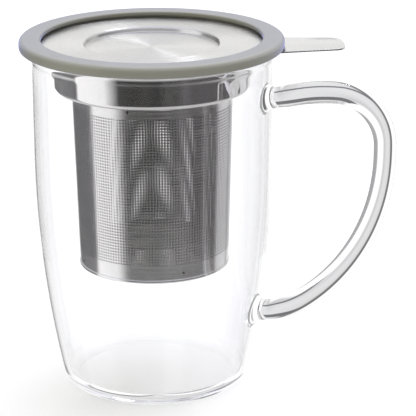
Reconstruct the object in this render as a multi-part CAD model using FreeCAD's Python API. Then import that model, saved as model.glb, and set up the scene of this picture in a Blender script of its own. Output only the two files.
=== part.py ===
import FreeCAD, Part
import math
import os

# Glass tea mug with a steel infuser that hangs in its mouth and a lid with a silicone seal.
# Millimetres and degrees. The origin is the centre of the flat base, +Z is up,
# and the handle stands out along +X.

# Mug body
MOUTH_RADIUS = 43.6        # outside of the glass at the mouth
MUG_HEIGHT = 126.2         # base to the top of the rim
STRAIGHT_DROP = 38.0       # rim down to where the side starts to curve in
SIDE_CURVE = 400.0         # radius of that long curve
GLASS_WALL = 2.0
FLOOR_THICKNESS = 3.0
BASE_CORNER = 5.7          # outside corner between side and base
INNER_CORNER = 5.0         # inside corner between side and floor
RIM_BEAD = 0.35            # how far the fire-polished rim stands proud of each face
RIM_BEAD_HEIGHT = 4.0

# Handle, a solid rod bent in one plane
HANDLE_STANDOFF = 44.15    # glass mouth to the rod's centre line at its furthest
HANDLE_DROP = 10.4         # rim down to the centre line at its highest
ROD_DEPTH = 8.0            # rod across its bending plane
ROD_WIDTH = 9.2
UPPER_RISE = 13.0          # slope of the upper run where it leaves the glass
UPPER_BEND = 62.0          # bend radii, from the upper run round to the lower one
CORNER_BEND = 17.5
GRIP_STRAIGHT = 2.8
LONG_BEND = 72.0
LONG_TURN = 52.0
LOWER_BEND = 40.0
LOWER_TURN = 26.0
UPPER_FOOT_RADIUS = 6.0    # weld foot where it meets the side
LOWER_FOOT_RADIUS = 6.8
FOOT_HEIGHT = 4.5
FOOT_ROOT = 3.0            # length of the foot that starts inside the wall, before it is trimmed
WELD_LINE = 0.02

# Infuser
FLANGE_OVERHANG = 1.4      # flange edge beyond the glass mouth
SHEET = 0.6                # flange and tab
COLLAR_WALL = 0.5
COLLAR_GAP = 6.1           # inside of the glass to the outside of the collar
COLLAR_DEPTH = 14.4        # top of the flange to the underside of the step
STEP_WIDTH = 6.2           # collar wall in to the top of the sleeve
NECK_LENGTH = 4.0
FLANGE_EDGE = 0.2          # rounding of the flange's edge
FLANGE_BEND = 1.4          # outside bend radii of the pressing
STEP_BEND = 1.8
SLEEVE_WALL = 0.3
SLEEVE_TAPER = 1.8         # how much smaller in radius the sleeve is at its foot
INFUSER_DEPTH = 80.8       # top of the flange to the underside of the base
BASE_SHEET = 0.4
BASE_LIP = 1.3             # height of the rolled lip under the sleeve
BASE_LIP_PROUD = 0.25      # lip beyond the sleeve
BASE_WALL_RISE = 3.2       # the cup's wall above the lip, inside the sleeve
NEST = 0.03                # radial gap between nested sheets
TAB_ANGLE = 24.0           # direction of the tab, from the handle
TAB_LENGTH = 25.0          # beyond the flange
TAB_ROOT_WIDTH = 26.0
TAB_TIP_WIDTH = 18.5
TAB_CORNER = 4.5
TAB_BULGE = 1.2            # how far the tip's end bows out

# Lid
LID_OVERHANG = 4.4         # ring beyond the glass mouth
RING_HEIGHT = 4.1
RING_WIDTH = 7.9           # top face and its rounded edges
RING_TOP_ROUND = 1.7
RING_LOWER_ROUND = 1.2
RING_INNER_ROUND = 0.8
WEB = 1.2                  # seal under the disc's edge
GROOVE_DEPTH = 2.4
DISC_SHEET = 0.6
RECESS_RADIUS = 24.5
RECESS_DEPTH = 1.7
RECESS_DRAFT = 0.5         # how much smaller the recess is at its floor
RECESS_ROUND = 1.0
LIP_WIDTH = 1.4
LIP_DEPTH = 3.0
LIP_CLEARANCE = 0.4
FIT = 0.05                 # disc edge in its groove
SEAT_GAP = 0.05            # flange above the rim, ring above the flange

# Sizes that follow
flange_under = MUG_HEIGHT + SEAT_GAP
flange_top = flange_under + SHEET
flange_radius = MOUTH_RADIUS + FLANGE_OVERHANG
collar_radius = MOUTH_RADIUS - GLASS_WALL - COLLAR_GAP
collar_bottom = flange_top - COLLAR_DEPTH
sleeve_radius = collar_radius - STEP_WIDTH
sleeve_top = collar_bottom
base_under = flange_top - INFUSER_DEPTH
sleeve_bottom = base_under + BASE_LIP
ring_under = flange_top + SEAT_GAP
ring_top = ring_under + RING_HEIGHT
ring_radius = MOUTH_RADIUS + LID_OVERHANG
ring_inner = ring_radius - RING_WIDTH
disc_under = ring_under + WEB
disc_top = disc_under + DISC_SHEET
disc_radius = ring_inner + GROOVE_DEPTH


def vec(x, z):
    return FreeCAD.Vector(x, 0, z)


def line(a, b):
    return Part.LineSegment(a, b).toShape()


def arc(a, middle, b):
    return Part.Arc(a, middle, b).toShape()


def arc_about(centre, radius, from_angle, to_angle):
    """Arc in the XZ plane, angles in radians from +X towards +Z."""
    points = []
    for angle in (from_angle, (from_angle + to_angle) / 2, to_angle):
        points.append(centre + vec(radius * math.cos(angle), radius * math.sin(angle)))
    return arc(*points)


def revolve(edges):
    """Solid of revolution about Z of a closed outline in the XZ plane."""
    face = Part.Face(Part.Wire(edges))
    return face.revolve(FreeCAD.Vector(0, 0, 0), FreeCAD.Vector(0, 0, 1), 360)


def rounded_outline(corners):
    """Closed outline through (radius, height, rounding) corners, each rounding a true arc."""
    count = len(corners)
    spans = []
    for i, (x, z, rounding) in enumerate(corners):
        point = vec(x, z)
        before = vec(*corners[i - 1][:2]) - point
        after = vec(*corners[(i + 1) % count][:2]) - point
        if rounding == 0:
            spans.append((point, None, point))
            continue
        half = before.getAngle(after) / 2
        reach = rounding / math.tan(half)
        before.normalize()
        after.normalize()
        middle = before + after
        middle.normalize()
        crown = middle * (rounding / math.sin(half) - rounding)
        spans.append((point + before * reach, point + crown, point + after * reach))
    edges = []
    for i, (start, crown, end) in enumerate(spans):
        if crown is not None:
            edges.append(arc(start, crown, end))
        following = spans[(i + 1) % count][0]
        if end.distanceToPoint(following) > 1e-6:
            edges.append(line(end, following))
    return edges


def side_arcs(inset, corner_radius, corner_bottom):
    """Side curve and base corner of the glass, drawn from the corner up to the straight wall."""
    centre = vec(MOUTH_RADIUS - SIDE_CURVE, MUG_HEIGHT - STRAIGHT_DROP)
    radius = SIDE_CURVE - inset
    drop = centre.z - (corner_bottom + corner_radius)
    lean = math.asin(drop / (radius - corner_radius))
    corner = centre + vec((radius - corner_radius) * math.cos(lean), -drop)
    low = arc_about(corner, corner_radius, -math.pi / 2, -lean)
    side = arc_about(centre, radius, -lean, 0)
    return low, side


def mug_body():
    outer_corner, outer_side = side_arcs(0, BASE_CORNER, 0)
    inner_corner, inner_side = side_arcs(GLASS_WALL, INNER_CORNER, FLOOR_THICKNESS)
    bead_radius = GLASS_WALL / 2 + RIM_BEAD
    middle = vec(MOUTH_RADIUS - GLASS_WALL / 2, MUG_HEIGHT - bead_radius)
    bead_foot = MUG_HEIGHT - RIM_BEAD_HEIGHT
    outer_foot = vec(MOUTH_RADIUS, bead_foot)
    inner_foot = vec(MOUTH_RADIUS - GLASS_WALL, bead_foot)
    outer_wall = [outer_side.lastVertex().Point, outer_foot, middle + vec(bead_radius, 0)]
    inner_wall = [inner_side.lastVertex().Point, inner_foot, middle - vec(bead_radius, 0)]
    edges = [line(vec(0, 0), outer_corner.firstVertex().Point), outer_corner, outer_side]
    edges += [line(outer_wall[0], outer_wall[1]), line(outer_wall[1], outer_wall[2])]
    edges += [arc_about(middle, bead_radius, 0, math.pi)]
    edges += [line(inner_wall[2], inner_wall[1]), line(inner_wall[1], inner_wall[0])]
    edges += [inner_side, inner_corner, line(inner_corner.firstVertex().Point, vec(0, FLOOR_THICKNESS))]
    edges += [line(vec(0, FLOOR_THICKNESS), vec(0, 0))]
    return revolve(Part.__sortEdges__(edges))


def weld_cutter():
    """Everything inside the outer face of the glass, with the weld line's width added."""
    corner, side = side_arcs(-WELD_LINE, BASE_CORNER, 0)
    top = vec(MOUTH_RADIUS + WELD_LINE, MUG_HEIGHT)
    edges = [line(vec(0, 0), corner.firstVertex().Point), corner, side, line(side.lastVertex().Point, top)]
    edges += [line(top, vec(0, MUG_HEIGHT)), line(vec(0, MUG_HEIGHT), vec(0, 0))]
    return revolve(Part.__sortEdges__(edges))


def outer_radius(height):
    """Outside of the glass at a height above the base corner."""
    drop = max(0.0, MUG_HEIGHT - STRAIGHT_DROP - height)
    return MOUTH_RADIUS - SIDE_CURVE + math.sqrt(SIDE_CURVE ** 2 - drop ** 2)


def handle_line():
    """Edges of the rod's centre line, and the point and outward direction at each weld."""
    reach = MOUTH_RADIUS + HANDLE_STANDOFF
    top = MUG_HEIGHT - HANDLE_DROP
    rise = math.radians(UPPER_RISE)
    long_turn = math.radians(LONG_TURN)
    last_turn = math.radians(LONG_TURN + LOWER_TURN)

    corner = vec(reach - CORNER_BEND, top - CORNER_BEND)
    upper = vec(corner.x, top - UPPER_BEND)
    upper_arc = arc_about(upper, UPPER_BEND, math.pi / 2 + rise, math.pi / 2)
    corner_arc = arc_about(corner, CORNER_BEND, math.pi / 2, 0)
    grip_top = vec(reach, corner.z)
    grip_bottom = vec(reach, corner.z - GRIP_STRAIGHT)
    long_centre = vec(reach - LONG_BEND, grip_bottom.z)
    long_arc = arc_about(long_centre, LONG_BEND, 0, -long_turn)
    shift = LONG_BEND - LOWER_BEND
    low_centre = long_centre + vec(shift * math.cos(long_turn), -shift * math.sin(long_turn))
    low_arc = arc_about(low_centre, LOWER_BEND, -long_turn, -last_turn)

    upper_out = vec(math.cos(rise), math.sin(rise))
    lower_out = vec(math.sin(last_turn), math.cos(last_turn))
    upper_start = upper_arc.firstVertex().Point
    lower_end = low_arc.lastVertex().Point
    upper_weld = upper_start - upper_out * ((upper_start.x - MOUTH_RADIUS) / upper_out.x)
    lower_weld = lower_end - lower_out * ((lower_end.x - outer_radius(lower_end.z)) / lower_out.x)

    edges = [line(upper_weld - upper_out * GLASS_WALL, upper_start), upper_arc, corner_arc]
    edges += [line(grip_top, grip_bottom), long_arc, low_arc]
    edges += [line(lower_end, lower_weld - lower_out * GLASS_WALL)]
    return edges, (upper_weld, upper_out), (lower_weld, lower_out)


def weld_foot(weld, radius):
    """Cone that spreads the rod's end over the side of the mug."""
    point, outwards = weld
    neck = ROD_DEPTH / 2 - 2 * FIT
    spread = radius + (radius - neck) * FOOT_ROOT / FOOT_HEIGHT
    return Part.makeCone(spread, neck, FOOT_ROOT + FOOT_HEIGHT, point - outwards * FOOT_ROOT, outwards)


def mug_handle():
    edges, upper_weld, lower_weld = handle_line()
    start = edges[0].firstVertex().Point
    outwards = upper_weld[1]
    across = FreeCAD.Vector(0, 1, 0)
    halves = [across * (ROD_WIDTH / 2), outwards.cross(across) * (ROD_DEPTH / 2)]
    halves.sort(key=lambda half: -half.Length)
    section = Part.Ellipse(start + halves[0], start + halves[1], start)
    rod = Part.Wire(edges).makePipeShell([Part.Wire(section.toShape())], True, False)
    handle = rod.fuse([weld_foot(upper_weld, UPPER_FOOT_RADIUS), weld_foot(lower_weld, LOWER_FOOT_RADIUS)])
    return handle.cut(weld_cutter()).removeSplitter()


def sleeve_outside(height):
    """Outside of the tapered sleeve at a height."""
    share = (sleeve_top - height) / (sleeve_top - sleeve_bottom)
    return sleeve_radius - SLEEVE_TAPER * share


def sleeve_inside(height):
    return sleeve_outside(height) - SLEEVE_WALL


def infuser_collar():
    neck_bottom = collar_bottom - NECK_LENGTH
    neck_top_radius = sleeve_inside(collar_bottom) - NEST
    neck_foot_radius = sleeve_inside(neck_bottom) - NEST
    step_top = collar_bottom + COLLAR_WALL
    inner = collar_radius - COLLAR_WALL
    corners = [(flange_radius, flange_under, FLANGE_EDGE), (flange_radius, flange_top, FLANGE_EDGE)]
    corners += [(inner, flange_top, FLANGE_BEND), (inner, step_top, STEP_BEND - COLLAR_WALL)]
    corners += [(neck_top_radius - COLLAR_WALL, step_top, FLANGE_BEND - SHEET)]
    corners += [(neck_foot_radius - COLLAR_WALL, neck_bottom, 0), (neck_foot_radius, neck_bottom, 0)]
    corners += [(neck_top_radius, collar_bottom, 0), (collar_radius, collar_bottom, STEP_BEND)]
    corners += [(collar_radius, flange_under, FLANGE_BEND - SHEET)]
    return revolve(rounded_outline(corners))


def infuser_sleeve():
    top, bottom = sleeve_top, sleeve_bottom
    corners = [(sleeve_outside(top), top, 0), (sleeve_inside(top), top, 0)]
    corners += [(sleeve_inside(bottom), bottom, 0), (sleeve_outside(bottom), bottom, 0)]
    return revolve(rounded_outline(corners))


def infuser_base():
    wall_top = sleeve_bottom + BASE_WALL_RISE
    lip_radius = sleeve_outside(sleeve_bottom) + BASE_LIP_PROUD
    outside_low = sleeve_inside(sleeve_bottom) - NEST
    outside_high = sleeve_inside(wall_top) - NEST
    floor_top = base_under + BASE_SHEET
    corners = [(0, base_under, 0), (lip_radius, base_under, BASE_LIP / 2)]
    corners += [(lip_radius, sleeve_bottom, BASE_LIP / 4), (outside_low, sleeve_bottom, 0)]
    corners += [(outside_high, wall_top, 0), (outside_high - BASE_SHEET, wall_top, 0)]
    corners += [(outside_low - BASE_SHEET, floor_top, BASE_LIP / 2), (0, floor_top, 0)]
    return revolve(rounded_outline(corners))


def infuser_tab():
    """Flat tongue, cut to the flange's edge and rounded at its tip."""
    tip = flange_radius + TAB_LENGTH
    root = flange_radius - TAB_ROOT_WIDTH / 3
    half_root = TAB_ROOT_WIDTH / 2
    half_tip = TAB_TIP_WIDTH / 2
    reach = tip - TAB_BULGE
    points = [(root, -half_root), (reach, -half_tip), (reach, half_tip), (root, half_root)]
    points = [FreeCAD.Vector(x, y, flange_under) for x, y in points]
    end = Part.Arc(points[1], FreeCAD.Vector(tip, 0, flange_under), points[2]).toShape()
    outline = [line(points[0], points[1]), end, line(points[2], points[3]), line(points[3], points[0])]
    blank = Part.Face(Part.Wire(outline)).extrude(FreeCAD.Vector(0, 0, SHEET))
    tip_edges = []
    for edge in blank.Edges:
        upright = abs(edge.tangentAt(edge.FirstParameter).z) > 0.9
        if upright and edge.Vertexes[0].Point.x > root + 1:
            tip_edges.append(edge)
    tongue = blank.makeFillet(TAB_CORNER, tip_edges)
    below = FreeCAD.Vector(0, 0, flange_under - SHEET)
    flange = Part.makeCylinder(flange_radius + WELD_LINE, 3 * SHEET, below)
    tab = tongue.cut(flange)
    tab.rotate(FreeCAD.Vector(0, 0, 0), FreeCAD.Vector(0, 0, 1), TAB_ANGLE)
    return tab


def lid_disc():
    floor_radius = RECESS_RADIUS - RECESS_DRAFT
    under = DISC_SHEET - DISC_SHEET * RECESS_DRAFT / RECESS_DEPTH
    tight = RECESS_ROUND - DISC_SHEET
    corners = [(0, disc_top - RECESS_DEPTH, 0), (floor_radius, disc_top - RECESS_DEPTH, tight)]
    corners += [(RECESS_RADIUS, disc_top, RECESS_ROUND)]
    corners += [(disc_radius, disc_top, 0), (disc_radius, disc_under, 0)]
    corners += [(RECESS_RADIUS + under, disc_under, tight)]
    corners += [(floor_radius + under, disc_under - RECESS_DEPTH, RECESS_ROUND)]
    corners += [(0, disc_under - RECESS_DEPTH, 0)]
    return revolve(rounded_outline(corners))


def lid_ring():
    groove = disc_radius + FIT
    lip_outer = collar_radius - COLLAR_WALL - LIP_CLEARANCE
    lip_inner = lip_outer - LIP_WIDTH
    lip_bottom = ring_under - LIP_DEPTH
    corners = [(ring_radius, ring_under, RING_LOWER_ROUND), (ring_radius, ring_top, RING_TOP_ROUND)]
    corners += [(ring_inner, ring_top, RING_INNER_ROUND), (ring_inner, disc_top, 0), (groove, disc_top, 0)]
    corners += [(groove, disc_under, 0), (lip_inner, disc_under, 0), (lip_inner, lip_bottom, LIP_WIDTH / 4)]
    corners += [(lip_outer, lip_bottom, LIP_WIDTH / 4), (lip_outer, ring_under, 0)]
    return revolve(rounded_outline(corners))


PIECES = {
    "mug_body": mug_body,
    "mug_handle": mug_handle,
    "infuser_collar": infuser_collar,
    "infuser_sleeve": infuser_sleeve,
    "infuser_base": infuser_base,
    "infuser_tab": infuser_tab,
    "lid_disc": lid_disc,
    "lid_ring": lid_ring,
}

os.makedirs("parts", exist_ok=True)
for name, make in PIECES.items():
    shape = make()
    shape.exportStep("parts/" + name + ".step")
    print(name, "solids", len(shape.Solids), "valid", shape.isValid(), "cm3", round(shape.Volume / 1000, 2))
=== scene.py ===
import math

import bmesh
import bpy
import numpy as np
from mathutils import Matrix, Vector


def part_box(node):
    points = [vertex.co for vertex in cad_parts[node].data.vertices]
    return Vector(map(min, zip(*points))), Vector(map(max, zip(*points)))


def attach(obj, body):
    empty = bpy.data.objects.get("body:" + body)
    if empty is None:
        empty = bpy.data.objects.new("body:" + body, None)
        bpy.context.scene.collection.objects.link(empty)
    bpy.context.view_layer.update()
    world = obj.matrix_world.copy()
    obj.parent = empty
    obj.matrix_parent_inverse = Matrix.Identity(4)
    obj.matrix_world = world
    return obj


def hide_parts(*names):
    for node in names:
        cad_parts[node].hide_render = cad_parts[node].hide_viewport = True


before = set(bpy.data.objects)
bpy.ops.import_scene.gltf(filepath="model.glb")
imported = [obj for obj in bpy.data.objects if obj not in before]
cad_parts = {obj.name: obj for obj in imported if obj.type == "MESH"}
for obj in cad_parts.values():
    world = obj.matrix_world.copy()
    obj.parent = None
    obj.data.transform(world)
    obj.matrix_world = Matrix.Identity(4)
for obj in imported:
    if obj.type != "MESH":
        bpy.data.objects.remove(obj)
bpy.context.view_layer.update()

# Glass body of the mug. Clear borosilicate glass, blown in a mould: a thin straight wall that
# curves in gently to a thick flat base, with a fire-polished bead round the mouth.
_, body_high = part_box("mug_body")
RIM_BEAD = 0.00035
GLASS_WALL = 0.002
GLASS_FLOOR = 0.003
BEAD_HEIGHT = 0.004
STRAIGHT_DROP = 0.038
SIDE_CURVE = 0.4
BASE_CORNER = 0.0057
INNER_CORNER = 0.005
GLASS_IOR = 1.47
GLASS_SHADOW = 0.96
TRAPPED_AFTER = 1.5
WAVE_HEIGHT = 0.00002
GLASS_SHARP = 11
GLASS_SLIVER = 0.000005
AROUND = 256
mouth = body_high.x - RIM_BEAD
rim = body_high.z


def arc(centre, radius, start, stop, steps):
    """Points of an arc in the half plane (radius, height), angles in degrees from outwards towards up."""
    points = []
    for angle in np.radians(np.linspace(start, stop, steps + 1)):
        points.append((centre[0] + radius * math.cos(angle), centre[1] + radius * math.sin(angle)))
    return points


def side(inset, corner, bottom):
    """Base corner and side curve of one face of the glass, from the flat bottom up to the straight wall."""
    centre = (mouth - SIDE_CURVE, rim - STRAIGHT_DROP)
    radius = SIDE_CURVE - inset
    lean = math.asin((centre[1] - bottom - corner) / (radius - corner))
    low = (centre[0] + (radius - corner) * math.cos(lean), bottom + corner)
    lean = math.degrees(lean)
    return arc(low, corner, -90, -lean, 14) + arc(centre, radius, -lean, 0, 40)[1:]


def ease(share):
    return (1 - math.cos(math.pi * share)) / 2


def wall_to_bead(wall, bead, steps):
    """Straight wall from the side curve up, easing out to the bead's widest line."""
    foot = rim - BEAD_HEIGHT
    top = rim - GLASS_WALL / 2 - RIM_BEAD
    start = rim - STRAIGHT_DROP
    points = [(wall, start + (foot - start) * i / steps) for i in range(1, steps + 1)]
    for i in range(1, steps + 1):
        points.append((wall + (bead - wall) * ease(i / steps), foot + (top - foot) * i / steps))
    return points


def new_piece(name, mesh):
    piece = bpy.data.objects.new(name, mesh)
    bpy.context.collection.objects.link(piece)
    return piece


def finished(mesh, sharp=30, weld=1e-7):
    """Faces outwards, smooth, with a hard edge wherever the surface turns by more than sharp degrees."""
    shape = bmesh.new()
    shape.from_mesh(mesh)
    bmesh.ops.remove_doubles(shape, verts=shape.verts, dist=weld)
    bmesh.ops.dissolve_degenerate(shape, edges=shape.edges, dist=weld)
    if shape.calc_volume(signed=True) < 0:
        bmesh.ops.reverse_faces(shape, faces=shape.faces)
    shape.to_mesh(mesh)
    shape.free()
    mesh.shade_smooth()
    mesh.set_sharp_from_angle(angle=math.radians(sharp))
    return mesh


def turned(name, outline, around=AROUND, sharp=30):
    """Solid of revolution. An outline from axis to axis closes there, any other closes on itself."""
    on_axis = outline[0][0] == 0
    turns = np.arange(around) * 2 * math.pi / around
    verts, rows = [], []
    for radius, height in outline:
        if radius == 0:
            rows.append([len(verts)] * around)
            verts.append((0, 0, height))
            continue
        rows.append(list(range(len(verts), len(verts) + around)))
        verts += [(radius * math.cos(turn), radius * math.sin(turn), height) for turn in turns]
    faces = []
    pairs = list(zip(rows, rows[1:])) if on_axis else list(zip(rows, rows[1:] + rows[:1]))
    for low, high in pairs:
        for i in range(around):
            j = (i + 1) % around
            corners = [low[i], low[j], high[j], high[i]]
            faces.append(list(dict.fromkeys(corners)))
    mesh = bpy.data.meshes.new(name)
    mesh.from_pydata(verts, [], faces)
    return new_piece(name, finished(mesh, sharp))


bead_radius = GLASS_WALL / 2 + RIM_BEAD
bead_centre = (mouth - GLASS_WALL / 2, rim - bead_radius)
outer_face = side(0, BASE_CORNER, 0) + wall_to_bead(mouth, mouth + RIM_BEAD, 8)
inner_face = side(GLASS_WALL, INNER_CORNER, GLASS_FLOOR)
inner_face += wall_to_bead(mouth - GLASS_WALL, mouth - GLASS_WALL - RIM_BEAD, 8)
flat_rings = [outer_face[0][0] * share for share in (0.25, 0.5, 0.75)]
glass_outline = [(0, 0)] + [(ring, 0) for ring in flat_rings] + outer_face
glass_outline += arc(bead_centre, bead_radius, 0, 180, 24)[1:-1] + inner_face[::-1]
glass_outline += [(ring, GLASS_FLOOR) for ring in flat_rings[::-1]] + [(0, GLASS_FLOOR)]
glass_body = turned("mug_glass", glass_outline, sharp=20)

# Handle. A solid rod of the same glass, oval in section, bent hot in one plane. Each end is
# pressed against the side while soft, which leaves a waist and a spread foot.
_, handle_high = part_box("mug_handle")
ROD_DEPTH = 0.008
ROD_WIDTH = 0.0092
UPPER_RISE = 13
UPPER_BEND = 0.062
CORNER_BEND = 0.0175
GRIP_STRAIGHT = 0.0028
LONG_BEND = 0.072
LONG_TURN = 52
LOWER_BEND = 0.040
LOWER_TURN = 26
UPPER_FOOT = 0.006
LOWER_FOOT = 0.0068
FOOT_HEIGHT = 0.0045
FOOT_SINK = 0.00004
FOOT_ROOT = 0.0011
FOOT_BLEND = 0.008
FOOT_STEPS = 14
WAIST = 0.06
WAIST_LENGTH = 0.0025
ROD_AROUND = 60
ROD_STEP = 0.0009


def outer_radius(height):
    """Outside of the glass at a height above the base corner."""
    drop = max(0.0, rim - STRAIGHT_DROP - height)
    return mouth - SIDE_CURVE + math.sqrt(SIDE_CURVE ** 2 - drop ** 2)


def bend(centre, radius, start, stop):
    steps = max(2, round(abs(math.radians(stop - start)) * radius / ROD_STEP))
    return arc(centre, radius, start, stop, steps)


def run(start, stop):
    start, stop = np.array(start), np.array(stop)
    steps = max(2, round(np.linalg.norm(stop - start) / ROD_STEP))
    return [tuple(start + (stop - start) * i / steps) for i in range(steps + 1)]


def rod_line():
    """The rod's centre line, from the upper weld round to the lower one."""
    reach = handle_high.x - ROD_DEPTH / 2
    top = handle_high.z - ROD_DEPTH / 2
    corner = (reach - CORNER_BEND, top - CORNER_BEND)
    upper = bend((corner[0], top - UPPER_BEND), UPPER_BEND, 90 + UPPER_RISE, 90)
    grip_end = corner[1] - GRIP_STRAIGHT
    long_centre = (reach - LONG_BEND, grip_end)
    shift = LONG_BEND - LOWER_BEND
    turn = math.radians(LONG_TURN)
    low_centre = (long_centre[0] + shift * math.cos(turn), long_centre[1] - shift * math.sin(turn))
    low = bend(low_centre, LOWER_BEND, -LONG_TURN, -LONG_TURN - LOWER_TURN)
    rise, last = math.radians(UPPER_RISE), math.radians(LONG_TURN + LOWER_TURN)
    upper_out = np.array((math.cos(rise), math.sin(rise)))
    lower_out = np.array((math.sin(last), math.cos(last)))
    upper_weld = np.array(upper[0]) - upper_out * (upper[0][0] - mouth) / upper_out[0]
    low_gap = low[-1][0] - outer_radius(low[-1][1])
    lower_weld = np.array(low[-1]) - lower_out * low_gap / lower_out[0]
    line = run(upper_weld, upper[0]) + upper[1:]
    line += bend(corner, CORNER_BEND, 90, 0)[1:] + run((reach, corner[1]), (reach, grip_end))[1:]
    line += bend(long_centre, LONG_BEND, 0, -LONG_TURN)[1:] + low[1:] + run(low[-1], lower_weld)[1:]
    return np.array(line), upper_out, lower_out


def to_wall(point, outwards):
    """How far a point has to slide along the rod's direction to lie on the glass."""
    slid = 0.0
    for _ in range(5):
        x, y, z = point + outwards * slid
        slid -= (math.hypot(x, y) - outer_radius(z)) / outwards[0]
    return slid


def rod_mesh():
    line, upper_out, lower_out = rod_line()
    steps = np.linalg.norm(np.diff(line, axis=0), axis=1)
    along = np.concatenate(([0], np.cumsum(steps)))
    total = along[-1]
    bends = [math.pi / 2 * i / FOOT_STEPS for i in range(FOOT_STEPS + 1)]
    foot = [(FOOT_HEIGHT + FOOT_SINK) * (1 - math.cos(a)) - FOOT_SINK for a in bends]
    clear_of_foot = FOOT_HEIGHT + ROD_STEP
    middle = [place for place in along if clear_of_foot < place < total - clear_of_foot]
    far_foot = [total - place for place in foot[::-1]]
    stations = [-FOOT_ROOT] + foot + middle + far_foot + [total + FOOT_ROOT]
    verts = []
    across = np.array((0, 1, 0))
    for place in stations:
        inside = min(max(place, 0), total)
        x, z = (np.interp(inside, along, line[:, k]) for k in (0, 1))
        ahead, behind = min(inside + ROD_STEP, total), max(inside - ROD_STEP, 0)
        run_x, run_z = (np.interp(ahead, along, line[:, k]) - np.interp(behind, along, line[:, k])
                        for k in (0, 1))
        tangent = np.array((run_x, 0, run_z)) / math.hypot(run_x, run_z)
        normal = np.array((-tangent[2], 0, tangent[0]))
        lower_end = place > total / 2
        depth = total - place if lower_end else place
        weld = line[-1] if lower_end else line[0]
        outwards = lower_out if lower_end else upper_out
        outwards = np.array((outwards[0], 0, outwards[1]))
        if depth < 0.5 * FOOT_HEIGHT:
            tangent = -outwards if lower_end else outwards
            normal = np.array((-tangent[2], 0, tangent[0]))
        spread = 0.0
        if depth < FOOT_HEIGHT:
            rise = min(1.0, max(0.0, 1 - (depth + FOOT_SINK) / (FOOT_HEIGHT + FOOT_SINK)))
            spread = 1 - math.sqrt(1 - rise ** 2)
        waist = 1 - WAIST * math.exp(-((depth - FOOT_HEIGHT) / WAIST_LENGTH) ** 2)
        radius = LOWER_FOOT if lower_end else UPPER_FOOT
        half_depth = (ROD_DEPTH / 2 * (1 - spread) + radius * spread) * waist
        half_width = (ROD_WIDTH / 2 * (1 - spread) + radius * spread) * waist
        hold = 1 - ease(min(1, max(0, (depth - FOOT_HEIGHT) / FOOT_BLEND)))
        centre = np.array((x, 0, z))
        if place != inside:
            centre = centre - outwards * (inside - place if place < 0 else place - inside)
        weld_point = np.array((weld[0], 0, weld[1]))
        for k in range(ROD_AROUND):
            turn = 2 * math.pi * k / ROD_AROUND
            offset = normal * half_depth * math.cos(turn) + across * half_width * math.sin(turn)
            point = centre + offset
            if hold > 0:
                point = point + outwards * hold * to_wall(weld_point + offset, outwards)
            verts.append(tuple(point))
    faces = []
    for ring in range(len(stations) - 1):
        for k in range(ROD_AROUND):
            j = (k + 1) % ROD_AROUND
            a, b = ring * ROD_AROUND, (ring + 1) * ROD_AROUND
            faces.append((a + k, a + j, b + j, b + k))
    faces.append(tuple(range(ROD_AROUND - 1, -1, -1)))
    faces.append(tuple(range(len(verts) - ROD_AROUND, len(verts))))
    mesh = bpy.data.meshes.new("mug_rod")
    mesh.from_pydata(verts, [], faces)
    return finished(mesh)


def fused(first, second):
    """One mesh of two overlapping objects, under the first one's name."""
    union = first.modifiers.new("weld", "BOOLEAN")
    union.operation = "UNION"
    union.solver = "MANIFOLD"
    union.object = second
    graph = bpy.context.evaluated_depsgraph_get()
    mesh = bpy.data.meshes.new_from_object(first.evaluated_get(graph))
    name = first.name
    for old in (first, second):
        bpy.data.objects.remove(old)
    return new_piece(name, mesh)


def put(tree, kind, inputs=None, **settings):
    """Adds a node. Each input takes a value or another node's output."""
    node = tree.nodes.new(kind)
    for key, value in settings.items():
        setattr(node, key, value)
    for key, value in (inputs or {}).items():
        if isinstance(value, bpy.types.NodeSocket):
            tree.links.new(value, node.inputs[key])
        else:
            node.inputs[key].default_value = value
    return node


def new_material(name):
    material = bpy.data.materials.new(name)
    material.use_nodes = True
    material.node_tree.nodes.clear()
    return material, material.node_tree


def maths(tree, operation, first, second=0.0):
    return put(tree, "ShaderNodeMath", {0: first, 1: second}, operation=operation).outputs[0]


def grey(level):
    return level, level, level, 1.0


def clear_glass():
    """Clear glass, faintly wavy. Its shadow is light, and light caught in a thick edge gets out."""
    material, tree = new_material("clear_glass")
    place = put(tree, "ShaderNodeTexCoord").outputs["Object"]
    waves = put(tree, "ShaderNodeTexNoise", {"Vector": place, "Scale": 45.0, "Detail": 1.0})
    bump = put(tree, "ShaderNodeBump", {
        "Strength": 0.1, "Distance": WAVE_HEIGHT, "Height": waves.outputs[0],
    })
    glass = put(tree, "ShaderNodeBsdfPrincipled", {
        "Base Color": (1.0, 1.0, 1.0, 1.0),
        "Roughness": 0.0,
        "IOR": GLASS_IOR,
        "Transmission Weight": 1.0,
        "Normal": bump.outputs[0],
    })
    clear = put(tree, "ShaderNodeBsdfTransparent", {"Color": grey(GLASS_SHADOW)})
    path = put(tree, "ShaderNodeLightPath").outputs
    sides = {0: path["Is Shadow Ray"], 1: glass.outputs[0], 2: clear.outputs[0]}
    mix = put(tree, "ShaderNodeMixShader", sides)
    trapped = maths(tree, "GREATER_THAN", path["Glossy Depth"], TRAPPED_AFTER)
    free = put(tree, "ShaderNodeBsdfTransparent")
    mix = put(tree, "ShaderNodeMixShader", {0: trapped, 1: mix.outputs[0], 2: free.outputs[0]})
    put(tree, "ShaderNodeOutputMaterial", {"Surface": mix.outputs[0]})
    return material


mug = fused(glass_body, new_piece("mug_rod", rod_mesh()))
finished(mug.data, GLASS_SHARP, GLASS_SLIVER)
mug.data.materials.clear()
mug.data.materials.append(clear_glass())
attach(mug, "mug")
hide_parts("mug_body", "mug_handle")

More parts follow.
